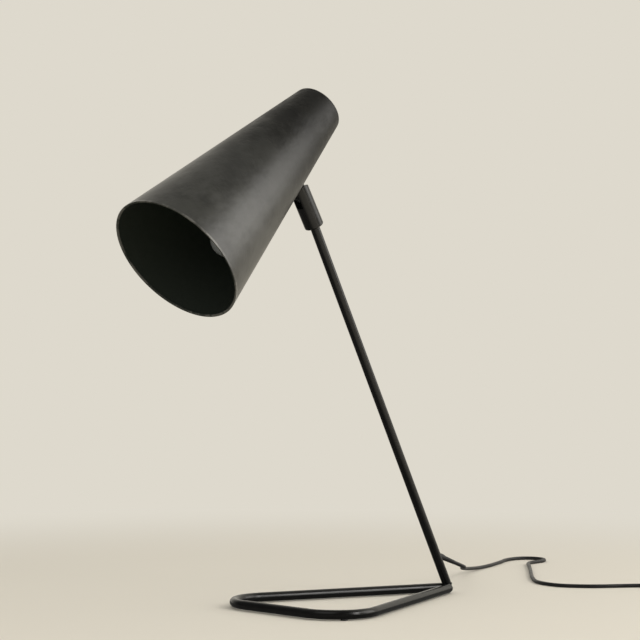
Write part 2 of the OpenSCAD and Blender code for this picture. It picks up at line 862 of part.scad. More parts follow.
// One tube along a path, with flat ends; its rings stay upright
module tube(path, r, sides) {
    n = len(path);
    rings = [
        for (i = [0 : n - 1])
            let (ahead = heading(path, i), side = unit(cross([0, 0, 1], ahead)), up = cross(ahead, side))
            for (k = [0 : sides - 1])
                let (a = 360 * (k + 0.5) / sides)
                path[i] + r * (cos(a) * side + sin(a) * up)
    ];
    walls = [
        for (i = [0 : n - 2], k = [0 : sides - 1])
            let (a = i * sides + k, b = i * sides + (k + 1) % sides)
            each [[a, a + sides, b], [b, a + sides, b + sides]]
    ];
    first = [for (k = [1 : sides - 2]) [0, k, k + 1]];
    last_ring = (n - 1) * sides;
    last = [for (k = [1 : sides - 2]) [last_ring, last_ring + k + 1, last_ring + k]];
    polyhedron(points = rings, faces = concat(walls, first, last), convexity = 10);
}

module cord_run() {
    color(black) tube(smooth(run_points, cord_steps), cord_r, cord_sides);
}

module cord_link() {
    color(black) tube(smooth(link_points, cord_steps), cord_r, cord_sides);
}

module cord_tail() {
    color(black) tube(smooth(tail_points, cord_steps), cord_r, cord_sides);
}

// The coil turns clockwise: in along the table, up a layer in the half turn where it reverses, and out on top
coil_turns = 2 * coil_loops;
function coil_radius(turn) =
    coil_out_r - coil_pitch * (coil_loops - abs(turn - coil_loops));
function coil_climb(turn) =
    let (share = min(max((turn - coil_loops) / 0.5 + 0.5, 0), 1))
    coil_pitch * (1 - cos(180 * share)) / 2;
function coil_point(turn) =
    coil_at + [
        coil_radius(turn) * cos(-360 * turn),
        coil_radius(turn) * sin(-360 * turn),
        cord_z + coil_climb(turn)
    ];
coil_path = concat(
    [coil_start],
    [for (i = [0 : coil_turns * coil_turn_steps]) coil_point(i / coil_turn_steps)],
    [coil_finish]
);

// Least distance between the centrelines of parts of the coil that are a third of a turn or more apart
function coil_least(apart) =
    min([
        for (i = [0 : len(coil_path) - 1], j = [i + apart : 1 : len(coil_path) - 1])
            norm(coil_path[i] - coil_path[j])
    ]);

module cord_coil() {
    echo(coil_gap_to_itself = coil_least(coil_turn_steps / 3) - cord_d);
    color(black) tube(coil_path, cord_r, coil_sides);
}

// Strap round the coil's bundle, on the side away from the cord's ends
module coil_tie() {
    strap_w = 8;
    strap_t = 1;
    bundle_w = coil_pitch * coil_loops + cord_d + 1;
    bundle_h = cord_z + coil_pitch + cord_r + 0.5;
    color(dark_plastic) translate(coil_at + [-coil_mean_r, 0, 0]) difference() {
        translate([-bundle_w / 2 - strap_t, -strap_w / 2, 0])
            cube([bundle_w + 2 * strap_t, strap_w, bundle_h + strap_t]);
        translate([-bundle_w / 2, -strap_w, -1]) cube([bundle_w, 2 * strap_w, bundle_h + 1]);
    }
}

// ---- Switch ----

module switch_outline(inset) {
    long = switch_len / 2 - inset;
    wide = switch_w / 2 - inset;
    corner = switch_round - inset;
    for (x = [-1, 1], y = [-1, 1]) translate([x * (long - corner), y * (wide - corner)]) circle(r = corner);
    square([2 * long, 2 * (wide - corner)], center = true);
    square([2 * (long - corner), 2 * wide], center = true);
}

module switch_entries(z) {
    translate([-switch_len, 0, z]) rotate([0, 90, 0]) cylinder(d = cord_d + 2 * fit, h = 2 * switch_len);
}

module both_ways() {
    children();
    mirror([0, 1, 0]) children();
}

module at_switch_screws() {
    for (side = [-1, 1]) translate([side * switch_screw_x, side * switch_screw_y, 0]) children();
}

module switch_base() {
    color(dark_plastic) translate(switch_at) difference() {
        union() {
            difference() {
                linear_extrude(parting_z) switch_outline(0);
                translate([0, 0, switch_wall]) linear_extrude(parting_z) switch_outline(switch_wall);
            }
            at_switch_screws() cylinder(d = post_d, h = parting_z - 0.2);
        }
        switch_entries(entry_z);
        at_switch_screws() translate([0, 0, -1]) cylinder(d = switch_screw_d + 2 * fit, h = parting_z + 2);
        at_switch_screws() translate([0, 0, -1]) cylinder(d = 4.6, h = 2.2);
    }
}

module switch_cover() {
    roof_z = switch_h - switch_wall;
    lug_low = rocker_z - 2.6;
    color(dark_plastic) translate(switch_at) difference() {
        union() {
            difference() {
                translate([0, 0, parting_z]) linear_extrude(switch_h - parting_z) switch_outline(0);
                translate([0, 0, parting_z - 1])
                    linear_extrude(roof_z - parting_z + 1) switch_outline(switch_wall);
            }
            at_switch_screws() translate([0, 0, parting_z])
                cylinder(d = post_d, h = roof_z - parting_z + eps);
            both_ways() translate([-4, window_w / 2, lug_low])
                cube([8, rocker_lug_t, roof_z - lug_low + eps]);
        }
        switch_entries(entry_z);
        translate([-window_half, -window_w / 2, roof_z - 1])
            cube([2 * window_half, window_w, 2 * switch_wall]);
        translate([0, switch_w, rocker_z]) rotate([90, 0, 0])
            cylinder(d = rocker_pin_d + 2 * run, h = 2 * switch_w);
        at_switch_screws() translate([0, 0, parting_z - 1]) cylinder(d = switch_screw_d, h = 6);
    }
}

// The rocker's ends are round about its pin, and its two top faces meet in a shallow valley
module switch_rocker() {
    low = -2;
    valley = 5.2;
    brow = 7;
    pin_half = window_w / 2 + rocker_lug_t - 0.2;
    color([0.75, 0.75, 0.75]) translate(switch_at + [0, 0, rocker_z]) rotate([0, -rocker_tilt, 0]) {
        rotate([90, 0, 0]) linear_extrude(rocker_w, center = true) intersection() {
            circle(r = rocker_r);
            polygon([
                [-rocker_r, low], [rocker_r, low], [rocker_r, brow], [0, valley], [-rocker_r, brow]
            ]);
        }
        rotate([90, 0, 0]) cylinder(d = rocker_pin_d, h = 2 * pin_half, center = true);
    }
}

module switch_screws() {
    head_h = 1;
    color(bright_steel) translate(switch_at) at_switch_screws() {
        translate([0, 0, 0.15]) cylinder(d = 4.4, h = head_h);
        translate([0, 0, head_h]) cylinder(d = switch_screw_d - 0.1, h = parting_z + 3);
    }
}

module switch_contacts() {
    block = [7, 4, 5];
    color(brass) translate(switch_at) for (x = [-12, 5]) translate([x, -8, switch_wall]) cube(block);
}

// ---- Plug ----

// Along the pins: +Z to the pins' tips, +Y up
module at_plug() {
    translate(plug_at + [0, 0, plug_z]) rotate([-90, 0, 0]) children();
}

module plug_section(half_w, half_h, cut) {
    polygon([
        [-half_w, -half_h + cut], [-half_w + cut, -half_h], [half_w - cut, -half_h], [half_w, -half_h + cut],
        [half_w, half_h - cut], [half_w - cut, half_h], [-half_w + cut, half_h], [-half_w, half_h - cut]
    ]);
}

module plug_body() {
    waist = plug_len - 12;
    half = plug_w / 2;
    color(dark_plastic) at_plug() difference() {
        intersection() {
            linear_extrude(plug_len) plug_section(half, plug_h / 2, 4);
            rotate([90, 0, 0]) linear_extrude(2 * plug_h, center = true) polygon([
                [-half + 8, 0], [half - 8, 0], [half - 2, waist], [half, waist + 3],
                [half, plug_len], [-half, plug_len], [-half, waist + 3], [-half + 2, waist]
            ]);
        }
        both_sides() translate([pin_pitch / 2, 0, plug_len - pin_root])
            cylinder(d = pin_d + 2 * fit, h = plug_len);
    }
}

module plug_relief() {
    color(dark_plastic) at_plug() translate([0, 0, -plug_relief_len])
        cylinder(r1 = cord_r + 0.2, r2 = 4.5, h = plug_relief_len);
}

module plug_pins() {
    color(bright_steel) at_plug() both_sides() translate([pin_pitch / 2, 0, plug_len - pin_root]) {
        cylinder(d = pin_d - 0.8, h = pin_root + sleeve_len);
        translate([0, 0, pin_root + sleeve_len]) cylinder(d = pin_d, h = pin_len - sleeve_len - pin_d / 2);
        translate([0, 0, pin_root + pin_len - pin_d / 2]) sphere(d = pin_d);
    }
}

module pin_sleeves() {
    color(dark_plastic) at_plug() both_sides() translate([pin_pitch / 2, 0, 0])
        ring(pin_d / 2, pin_d / 2 - 0.4, plug_len - pin_root, plug_len + sleeve_len);
}

base_loop();
foot_pads();
stem_tube();
supply_lead();
cord_grommet();
cord_relief();
knuckle_sleeve();
sleeve_grub_screw();
pivot_screw();
spring_washer();
friction_washers();
shade();
shade_bracket();
bracket_screws();
pivot_spacer();
lead_bush();
shade_lead();
holder_nipple();
nipple_nuts();
lock_washer();
holder_cap();
holder_insulator();
holder_barrel();
screw_shell();
centre_contact();
bulb_glass();
bulb_cap();
bulb_insulator();
bulb_contact();
bulb_mount();
filament();
cord_run();
switch_base();
switch_cover();
switch_rocker();
switch_screws();
switch_contacts();
cord_link();
cord_coil();
coil_tie();
cord_tail();
plug_body();
plug_relief();
plug_pins();
pin_sleeves();
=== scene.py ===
"""Looks of a cone-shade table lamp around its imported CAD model: camera, cord, surfaces, finishes and light.

The frame is the CAD's: +Z up, the shade's mouth toward -Y, the lamp's plane of symmetry at X = 0. Blender's units
are metres. The cord, the mouldings on it and the weld are laid out in the CAD's millimetres and scaled by MM.
"""
import json

import bpy
import numpy as np
from mathutils import Matrix


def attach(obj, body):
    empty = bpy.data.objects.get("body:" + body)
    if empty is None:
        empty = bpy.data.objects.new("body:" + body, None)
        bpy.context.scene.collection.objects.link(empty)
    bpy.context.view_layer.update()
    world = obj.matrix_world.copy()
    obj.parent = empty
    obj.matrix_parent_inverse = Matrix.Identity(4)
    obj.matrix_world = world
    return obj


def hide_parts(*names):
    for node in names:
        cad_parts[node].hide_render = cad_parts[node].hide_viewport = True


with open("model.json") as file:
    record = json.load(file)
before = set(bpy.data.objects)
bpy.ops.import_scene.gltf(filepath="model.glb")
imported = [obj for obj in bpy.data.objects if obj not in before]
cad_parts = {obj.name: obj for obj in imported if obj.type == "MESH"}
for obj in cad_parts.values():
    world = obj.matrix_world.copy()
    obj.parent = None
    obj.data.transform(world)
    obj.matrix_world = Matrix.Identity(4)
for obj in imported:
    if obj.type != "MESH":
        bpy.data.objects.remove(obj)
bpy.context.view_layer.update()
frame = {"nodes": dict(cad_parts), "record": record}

nodes = frame["nodes"]
scene = bpy.context.scene
scene.view_settings.view_transform = "Standard"

MM = 0.001


# ---- Camera ----

# Fitted to the outlines of the base, the stem and the shade together: about 3 m away and nearly level.
CAMERA_PLACE = (2.0707, -2.0586, 0.3778)
CAMERA_PITCH, CAMERA_TURN = 89.70, 44.81
SENSOR_WIDTH, CAMERA_LENS = 36, 131.953

camera_data = bpy.data.cameras.new("camera")
camera_data.sensor_width = SENSOR_WIDTH
camera_data.lens = CAMERA_LENS
camera = bpy.data.objects.new("camera", camera_data)
camera.location = CAMERA_PLACE
camera.rotation_euler = (np.radians(CAMERA_PITCH), 0, np.radians(CAMERA_TURN))
scene.collection.objects.link(camera)
scene.camera = camera


# ---- Surfaces ----

def unit(v):
    """Each row of v at length one."""
    v = np.asarray(v, float)
    return v / np.linalg.norm(v, axis=-1, keepdims=True)


def run_length(path):
    """Length along a path to each of its points."""
    return np.concatenate([[0], np.cumsum(np.linalg.norm(np.diff(path, axis=0), axis=1))])


def sheet_faces(rows, columns):
    """Quads between neighbouring points of a grid, counted row by row; the last column joins the first."""
    i, j = np.arange(rows - 1)[:, None], np.arange(columns)[None, :]
    beside = (j + 1) % columns
    corners = (i * columns + j, (i + 1) * columns + j, (i + 1) * columns + beside, i * columns + beside)
    return np.stack([np.broadcast_to(c, (i.size, j.size)) for c in corners], -1).reshape(-1, 4)


def grid_piece(name, grid, start=None, end=None):
    """A piece from rings of points (rows, columns, 3). A pole point may close the first and the last ring.

    A UV map runs along the rows (u) and round the columns (v), in metres.
    """
    rows, columns = grid.shape[:2]
    points = grid.reshape(-1, 3)
    faces = sheet_faces(rows, columns).tolist()
    around = np.arange(columns)
    for pole, first in ((start, 0), (end, (rows - 1) * columns)):
        if pole is None:
            continue
        points = np.vstack([points, pole])
        hub = np.full(columns, len(points) - 1)
        a, b = first + around, first + (around + 1) % columns
        faces += np.stack([hub, a, b] if first == 0 else [hub, b, a], 1).tolist()
    mesh = bpy.data.meshes.new(name)
    mesh.from_pydata(points.tolist(), [], faces)
    mesh.validate()
    mesh.polygons.foreach_set("use_smooth", np.full(len(mesh.polygons), True))
    uv_of = np.stack([np.repeat(run_length(grid[:, 0]), columns), np.tile(run_length(grid[0]), rows)], 1)
    uv_of = np.vstack([uv_of, np.zeros((len(points) - len(uv_of), 2))])
    loops = np.zeros(len(mesh.loops), np.int32)
    mesh.loops.foreach_get("vertex_index", loops)
    mesh.uv_layers.new(name="UVMap").data.foreach_set("uv", uv_of[loops].astype(np.float32).ravel())
    piece = bpy.data.objects.new(name, mesh)
    scene.collection.objects.link(piece)
    return piece


def upright_rings(path, radius, sides):
    """Rings of a tube: a circle of the given radius at each path point, across the path's heading.

    Its first direction is level (up x heading), its second is heading x level.
    """
    heading = unit(np.gradient(path, axis=0))
    level = unit(np.cross([0, 0, 1.0], heading))
    rise = np.cross(heading, level)
    angle = np.linspace(0, 2 * np.pi, sides, endpoint=False)[None, :, None]
    radius = np.broadcast_to(radius, len(path))[:, None, None]
    return path[:, None] + radius * (np.cos(angle) * level[:, None] + np.sin(angle) * rise[:, None])


# ---- Cord ----

# Metres.
CORD_D, CORD_LENGTH = 0.005, 2.0

# Millimetres. The exit, switch, coil and plug are where the CAD has them. The cord starts inside its relief and is
# free after CORD_FREE. CORD_Z is its middle where it lies on the table, and STRAIGHT is how far it keeps straight
# at the relief, the switch and the coil.
CORD_Z, STRAIGHT = 2.6, 12
EXIT_POINT, EXIT_DROP = np.array([0, 243.115, 52.207]), np.radians(20)
EXIT_DIR = np.array([0, np.cos(EXIT_DROP), -np.sin(EXIT_DROP)])
RELIEF_START, CORD_FREE = 12.5, 38.5
SWITCH_AT, SWITCH_HALF, ENTRY_Z = np.array([243, 527, 0]), np.array([32, 13]), 9
COIL_AT = np.array([304, 450, 0])
COIL_PITCH, COIL_LOOPS, COIL_OUT_R, COIL_END, CLIMB_TURNS = 5.6, 2, 33.6, 5, 0.5
PLUG_AT, PLUG_Z = np.array([388, 476, 0]), 7
PLUG_RELIEF_LEN, PLUG_LEAD_IN = 22, 14


def between(points, steps=16):
    """Catmull-Rom curve through all but the end points, each stretch cut into steps; the end stretches are
    straight."""
    p = np.asarray(points, float)
    t = (np.arange(steps) / steps)[None, :, None]
    a, b, c, d = (p[k:len(p) - 3 + k, None] for k in range(4))
    bend, twist = 2 * a - 5 * b + 4 * c - d, 3 * b - a - 3 * c + d
    curve = 0.5 * (2 * b + (c - a) * t + bend * t ** 2 + twist * t ** 3)
    return np.vstack([p[:1], curve.reshape(-1, 3), p[-2:]])


def coil_points(steps):
    """Flat clockwise coil in two layers: the radius falls by a pitch a turn, then grows again a layer higher."""
    turn = np.linspace(0, 2 * COIL_LOOPS, 2 * COIL_LOOPS * steps + 1)
    radius = COIL_OUT_R - COIL_PITCH * (COIL_LOOPS - np.abs(turn - COIL_LOOPS))
    climbed = np.clip((turn - COIL_LOOPS) / CLIMB_TURNS + 0.5, 0, 1)
    height = CORD_Z + COIL_PITCH * (1 - np.cos(np.pi * climbed)) / 2
    angle = -2 * np.pi * turn
    return COIL_AT + np.stack([radius * np.cos(angle), radius * np.sin(angle), height], 1)


def even(path, step):
    """The path again, with points a step apart along its length."""
    lengths = run_length(path)
    moved = np.r_[True, np.diff(lengths) > 1e-9]
    path, lengths = path[moved], lengths[moved]
    at = np.linspace(0, lengths[-1], int(round(lengths[-1] / step)) + 1)
    return np.stack([np.interp(at, lengths, path[:, k]) for k in range(3)], 1)


def cord_route():
    """The cord's centreline: down to the table, in loose curves to the switch, round both layers of the coil, and
    up to the plug."""
    free_start = EXIT_POINT + CORD_FREE * EXIT_DIR
    switch_end, switch_lead_in = SWITCH_HALF[0], SWITCH_HALF[0] + STRAIGHT
    coil_start = COIL_AT + [COIL_OUT_R, COIL_END, CORD_Z]
    coil_finish = COIL_AT + [COIL_OUT_R, -COIL_END, CORD_Z + COIL_PITCH]
    coming_down = [(-3, 301, 31.8), (-10, 311, 29.6), (-23, 324, 27.4), (-58, 361, 21.5), (-97, 406, 14),
                   (-129, 454, 7), (-148, 500, 3.2)]
    on_table = [(-161, 540), (-177, 580), (-191.5, 612), (-193.5, 640), (-180, 657), (-159, 657.5),
                (-145, 641), (-140, 603), (-114, 572), (-82, 536), (-49, 498), (-14, 459), (24, 426), (66, 418),
                (103, 439), (133, 477)]
    run_points = [
        free_start, free_start + STRAIGHT * EXIT_DIR, *coming_down, *((x, y, CORD_Z) for x, y in on_table),
        (158, 505, 3.2), (178, 520.5, 6),
        SWITCH_AT + [-switch_lead_in, 0, ENTRY_Z], SWITCH_AT + [-switch_end, 0, ENTRY_Z],
    ]
    in_switch = [SWITCH_AT + [x, 0, z] for x, z in ((-20, 7.8), (-8, 7.2), (8, 7.2), (20, 7.8))]
    link_points = [
        SWITCH_AT + [switch_end, 0, ENTRY_Z], SWITCH_AT + [switch_lead_in, 0, ENTRY_Z],
        (308, 522, 5), (326, 508, CORD_Z), (335, 488, CORD_Z), coil_start + [0, STRAIGHT, 0], coil_start,
    ]
    tail_points = [
        coil_finish, coil_finish + [0, -10, 0],
        (339.4, 420, 7), (345.2, 410.4, 5.4), (355, 404.6, 3.6), (366, 403.4, 2.8), (377, 408, 3.2),
        (384.8, 417, 4.6), (388, 428, 6.2),
        PLUG_AT + [0, -PLUG_RELIEF_LEN - PLUG_LEAD_IN, PLUG_Z], PLUG_AT + [0, -PLUG_RELIEF_LEN, PLUG_Z],
    ]
    return np.vstack([[EXIT_POINT + RELIEF_START * EXIT_DIR], between(run_points), in_switch,
                      between(link_points), coil_points(steps=96), between(tail_points)])


cord_path = MM * even(cord_route(), step=2.2)


# ---- Mouldings on the cord ----

# Switch: its height, the rolls of its edges, the groove at the parting line, and the rocker's window.
SWITCH_H, FOOT_ROLL, BROW_ROLL = 18, 1.2, 3
PARTING_Z, GROOVE_HALF, GROOVE_FLOOR, GROOVE_DEPTH = 9, 0.5, 0.3, 0.4
WINDOW_HALF, WINDOW_LIP, WINDOW_ROLL, WINDOW_DEPTH, WELL_FLOOR_Z = np.array([11.2, 5.5]), 1.06, 0.6, 3, 10.5

# Plug: its half width is the neck's, plus a swell along it and a flare at the face.
PLUG_LEN, PLUG_HALF_H, PLUG_NECK = 34, 7, 10.5
SWELL, SWELL_LEN = 4, 20
FLARE, FLARE_AT, FLARE_LEN = 3, 18, 8
FINGER_GROOVES, FINGER_DEPTH, FINGER_W = [7, 10, 13, 16], 0.45, 0.6
CORD_ROLL, FACE_ROLL = 2, 1.5

# Strap: width, thickness, half its span, height, corner radius, and how far its ends stay off the table.
TIE_W, TIE_T, TIE_HALF, TIE_H, TIE_CORNER, TIE_FOOT = 8, 1, 9.1, 11.7, 4, 0.3


def squircle(half, power, columns):
    """Points round a superellipse: |x/a|^n + |y/b|^n = 1, from the powers 2/n of cosine and sine."""
    turn = np.linspace(0, 2 * np.pi, columns, endpoint=False)
    wave = np.stack([np.cos(turn), np.sin(turn)], 1)
    return np.asarray(half) * np.sign(wave) * np.abs(wave) ** (2 / power)


def roll(radius, steps):
    """Quarter circle as (inset, height) pairs: the inset falls to nought as the height rises to the radius."""
    turn = np.linspace(0, np.pi / 2, steps)
    return radius * np.stack([1 - np.sin(turn), 1 - np.cos(turn)], 1)


def rings_at(outlines, heights):
    """Rings of points from flat outlines (rings, columns, 2), each at its own height."""
    heights = np.reshape(heights, (-1, 1, 1))
    return np.concatenate([outlines, np.broadcast_to(heights, (*outlines.shape[:2], 1))], 2)


def switch_shell():
    """Both halves of the switch: a superellipse outline lofted up the sides, over a rolled edge and flat top to
    the rocker's window, and down into it. A groove runs round at the parting line."""
    groove = [[0, -GROOVE_HALF], [GROOVE_DEPTH, -GROOVE_FLOOR], [GROOVE_DEPTH, GROOVE_FLOOR], [0, GROOVE_HALF]]
    low_ring, high_ring = [[0, 5]], [[0, 12]]
    brow = roll(BROW_ROLL, steps=8)[::-1] * [1, -1] + [0, SWITCH_H]
    sides = np.vstack([roll(FOOT_ROLL, steps=5), low_ring, np.array(groove) + [0, PARTING_Z], high_ring, brow])
    shrink = (SWITCH_HALF - sides[:, :1]) / SWITCH_HALF
    wall = rings_at(squircle(SWITCH_HALF, power=4.5, columns=96) * shrink[:, None], sides[:, 1])
    window = squircle(WINDOW_HALF, power=9, columns=96)
    edge = wall[-1, :, :2]
    share = np.linspace(0.25, 0.9, 4)[:, None, None]
    top = rings_at(edge + (window - edge) * share, SWITCH_H)
    lips = np.array([[WINDOW_LIP, 0], [1, -WINDOW_ROLL], [1, -WINDOW_DEPTH]])
    well = rings_at(window * lips[:, :1, None], SWITCH_H + lips[:, 1])
    grid = np.vstack([wall, top, well]) + SWITCH_AT
    return grid_piece("switch_shell", MM * grid, start=MM * SWITCH_AT,
                      end=MM * (SWITCH_AT + [0, 0, WELL_FLOOR_Z]))


def plug_shell():
    """Plug moulding: superellipse sections along the plug, narrow at the cord and flared to the face, with rolled
    ends and a row of finger grooves in the flanks."""
    s = np.concatenate([np.linspace(0, PLUG_LEN, 69), roll(CORD_ROLL, steps=6)[:, 1],
                        PLUG_LEN - roll(FACE_ROLL, steps=6)[:, 1]])
    s = np.unique(s.round(6))  # rounded, so that two stations a rounding error apart make one ring
    flare = np.clip((s - FLARE_AT) / FLARE_LEN, 0, 1)
    width = PLUG_NECK + SWELL * np.clip(s / SWELL_LEN, 0, 1) + FLARE * flare ** 2 * (3 - 2 * flare)
    grooves = FINGER_DEPTH * np.exp(-((s[:, None] - FINGER_GROOVES) / FINGER_W) ** 2).sum(1)
    cord_end = CORD_ROLL - np.sqrt(CORD_ROLL ** 2 - np.clip(CORD_ROLL - s, 0, CORD_ROLL) ** 2)
    face_end = FACE_ROLL - np.sqrt(FACE_ROLL ** 2 - np.clip(s - PLUG_LEN + FACE_ROLL, 0, FACE_ROLL) ** 2)
    inset = cord_end + face_end
    half = np.stack([width - grooves - inset, PLUG_HALF_H - inset], 1)
    section = half[:, None] * squircle((1, 1), power=3.2, columns=72)
    grid = rings_at(section, s)[..., [0, 2, 1]] + [0, 0, PLUG_Z]
    grid = grid[:, ::-1] + PLUG_AT
    return grid_piece("plug_shell", MM * grid, start=MM * (PLUG_AT + [0, 0, PLUG_Z]),
                      end=MM * (PLUG_AT + [0, PLUG_LEN, PLUG_Z]))


def tie_strap():
    """Strap over the coil: a thin rounded section carried up, over and down round a staple-shaped path."""
    turn = np.linspace(0, np.pi / 2, 9)
    left = np.stack([TIE_CORNER * (1 - np.cos(turn)) - TIE_HALF, TIE_H - TIE_CORNER * (1 - np.sin(turn))], 1)
    left = np.vstack([[[-TIE_HALF, TIE_FOOT], [-TIE_HALF, 4]], left])
    path = np.vstack([left, left[::-1] * [-1, 1]])
    heading = unit(np.gradient(path, axis=0))
    normal = np.stack([-heading[:, 1], heading[:, 0]], 1)
    section = squircle((TIE_W / 2, TIE_T / 2), power=3, columns=28)
    place = path[:, None] + normal[:, None] * section[None, :, 1:]
    grid = np.stack([place[..., 0], np.broadcast_to(section[None, :, 0], place.shape[:2]), place[..., 1]], 2)
    grid = grid + COIL_AT - [COIL_OUT_R - COIL_PITCH * COIL_LOOPS / 2, 0, 0]
    return grid_piece("tie_strap", MM * grid, start=MM * grid[0].mean(0), end=MM * grid[-1].mean(0))


MOULDINGS = {"switch_plastic": (switch_shell(), "switch_base", "switch_cover"),
             "plug_plastic": (plug_shell(), "plug_body"), "tie_plastic": (tie_strap(), "coil_tie")}
for slot, (piece, *replaced) in MOULDINGS.items():
    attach(piece, "stand")
    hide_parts(*replaced)

cord = grid_piece("cord", upright_rings(cord_path, CORD_D / 2, sides=20), start=cord_path[0], end=cord_path[-1])
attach(cord, "stand")
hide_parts("cord_run", "cord_link", "cord_coil", "cord_tail")


# ---- Weld at the foot of the stem ----

# The stem's axis starts at FOOT_Y, FOOT_Z. The loop's nose is an arc of radius NOSE_R round NOSE_Y, at FOOT_Z.
STEM_R, STEM_LEAN, FOOT_Y, FOOT_Z = 6, np.radians(28), 267.152, 7
NOSE_Y, NOSE_R, BAR_R = 255.652, 14, 6
BEAD_R, BEAD_RIPPLE, BEAD_STEP, BEAD_TAPER, BEAD_TIP, BEAD_SPACING = 0.9, 0.12, 1.1, 3.0, 0.15, 0.25


def weld_bead():
    """Bead where the stem meets the loop: for each turn round the stem, the highest point of its surface that is
    still one bar radius from the nose's centre circle; behind that circle it follows the bar's crown."""
    turn = np.linspace(-np.pi / 2, 1.5 * np.pi, 361)[None]
    rise = np.linspace(0, 20, 801)[:, None]
    x = np.broadcast_to(STEM_R * np.cos(turn), (rise.size, turn.size))
    y = FOOT_Y - NOSE_Y - np.sin(STEM_LEAN) * rise + np.cos(STEM_LEAN) * STEM_R * np.sin(turn)
    z = np.cos(STEM_LEAN) * rise + np.sin(STEM_LEAN) * STEM_R * np.sin(turn)
    inside = np.hypot(np.hypot(x, y) - NOSE_R, z) < BAR_R
    columns = np.nonzero(inside.any(0))[0]
    last = len(rise) - 1 - np.argmax(inside[::-1], 0)[columns]
    points = np.stack([axis[last, columns] for axis in (x, y, z)], 1)
    ring = np.hypot(points[:, 0], points[:, 1])
    behind = ring > NOSE_R
    points[behind, :2] *= (NOSE_R / ring[behind])[:, None]
    points[behind, 2] = BAR_R
    path = even(points, BEAD_SPACING)
    along = BEAD_SPACING * np.arange(len(path))
    taper = np.clip(np.minimum(along, along[-1] - along) / BEAD_TAPER, BEAD_TIP, 1) ** 0.5
    radius = taper * (BEAD_R + BEAD_RIPPLE * np.cos(2 * np.pi * along / BEAD_STEP))
    path = MM * (path + [0, NOSE_Y, FOOT_Z])
    return grid_piece("weld_bead", upright_rings(path, MM * radius, sides=14), start=path[0], end=path[-1])


bead = weld_bead()
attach(bead, "stand")


# ---- Shader nodes ----

def connect(tree, made, inputs):
    """Each named input of a node linked from a socket, or set to a value."""
    for key, value in inputs.items():
        if isinstance(value, bpy.types.NodeSocket):
            tree.links.new(value, made.inputs[key])
        else:
            made.inputs[key].default_value = value


def node(tree, kind, inputs=None, **settings):
    """A shader node with its settings and its inputs."""
    made = tree.nodes.new("ShaderNode" + kind)
    for key, value in settings.items():
        setattr(made, key, value)
    connect(tree, made, inputs or {})
    return made


def math_node(tree, operation, a, b):
    """Socket of two numbers joined by an operation."""
    return node(tree, "Math", {0: a, 1: b}, operation=operation).outputs[0]


def product(tree, a, b):
    """Socket of the product of two numbers."""
    return math_node(tree, "MULTIPLY", a, b)


def span(tree, value, low, high, to_low=0.0, to_high=1.0):
    """A value carried smoothly from one range to another."""
    return node(tree, "MapRange", {"Value": value, "From Min": low, "From Max": high, "To Min": to_low,
                                   "To Max": to_high}, interpolation_type="SMOOTHSTEP").outputs[0]


def blend(tree, factor, a, b):
    """A number between a and b."""
    return node(tree, "Mix", {"Factor": factor, "A": a, "B": b}).outputs[0]


def blend_colours(tree, factor, a, b):
    """A colour between a and b. The Mix node keeps its colour sockets at 6, 7 and 2."""
    return node(tree, "Mix", {"Factor": factor, 6: a, 7: b}, data_type="RGBA").outputs[2]


def blend_shaders(tree, factor, a, b):
    """A shader between a and b."""
    return node(tree, "MixShader", {0: factor, 1: a, 2: b}).outputs[0]


def new_group(name, inputs, outputs):
    """An empty shader group with its given sockets and its output node, from (socket name, type, value) rows."""
    group = bpy.data.node_groups.new(name, "ShaderNodeTree")
    for direction, sockets in (("INPUT", inputs), ("OUTPUT", outputs)):
        for label, kind, value in sockets:
            made = group.interface.new_socket(label, in_out=direction, socket_type="NodeSocket" + kind)
            if value is not None:
                made.default_value = value
    return group, group.nodes.new("NodeGroupInput").outputs, group.nodes.new("NodeGroupOutput")


def make_cloud():
    """Cloudy mask: two soft noises of different size, added and spread over nought to one."""
    group, given, out = new_group(
        "cloud", [("Place", "Vector", None), ("Size", "Float", 30.0), ("Stretch", "Vector", (1, 1, 1))],
        [("Mask", "Float", None)])
    place = node(group, "VectorMath", {0: given["Place"], 1: given["Stretch"]}, operation="MULTIPLY").outputs[0]
    wide = node(group, "TexNoise", {"Vector": place, "Scale": given["Size"], "Detail": 3.0, "Roughness": 0.55})
    small = node(group, "TexNoise", {"Vector": place, "Scale": product(group, given["Size"], 3.7), "Detail": 4.0,
                                     "Roughness": 0.6})
    both = math_node(group, "ADD", product(group, wide.outputs[0], 0.65), product(group, small.outputs[0], 0.35))
    connect(group, out, {"Mask": span(group, both, 0.38, 0.62)})
    return group


def make_grain():
    """Fine grain of a coat or moulding: a bump from one small noise."""
    group, given, out = new_group(
        "grain", [("Place", "Vector", None), ("Size", "Float", 1200.0), ("Depth", "Float", 0.1)],
        [("Normal", "Vector", None)])
    noise = node(group, "TexNoise", {"Vector": given["Place"], "Scale": given["Size"], "Detail": 2.0,
                                     "Roughness": 0.5})
    bump = node(group, "Bump", {"Height": noise.outputs[0], "Strength": given["Depth"], "Distance": 0.2 * MM})
    connect(group, out, {"Normal": bump.outputs[0]})
    return group


CLOUD, GRAIN = make_cloud(), make_grain()


def cloud_mask(tree, place, size, stretch=(1, 1, 1)):
    """A cloudy mask from nought to one; a larger size number makes smaller clouds."""
    inputs = {"Place": place, "Size": size, "Stretch": stretch}
    return node(tree, "Group", inputs, node_tree=CLOUD).outputs["Mask"]


def grain_normal(tree, place, size, depth):
    """The normal of a fine grain."""
    return node(tree, "Group", {"Place": place, "Size": size, "Depth": depth}, node_tree=GRAIN).outputs["Normal"]


def material(name):
    """A new material with its tree, its shader and its Object coordinates."""
    made = bpy.data.materials.new(name)
    made.use_nodes = True
    tree = made.node_tree
    return made, tree, tree.nodes["Principled BSDF"], node(tree, "TexCoord").outputs["Object"]


# ---- Finishes ----

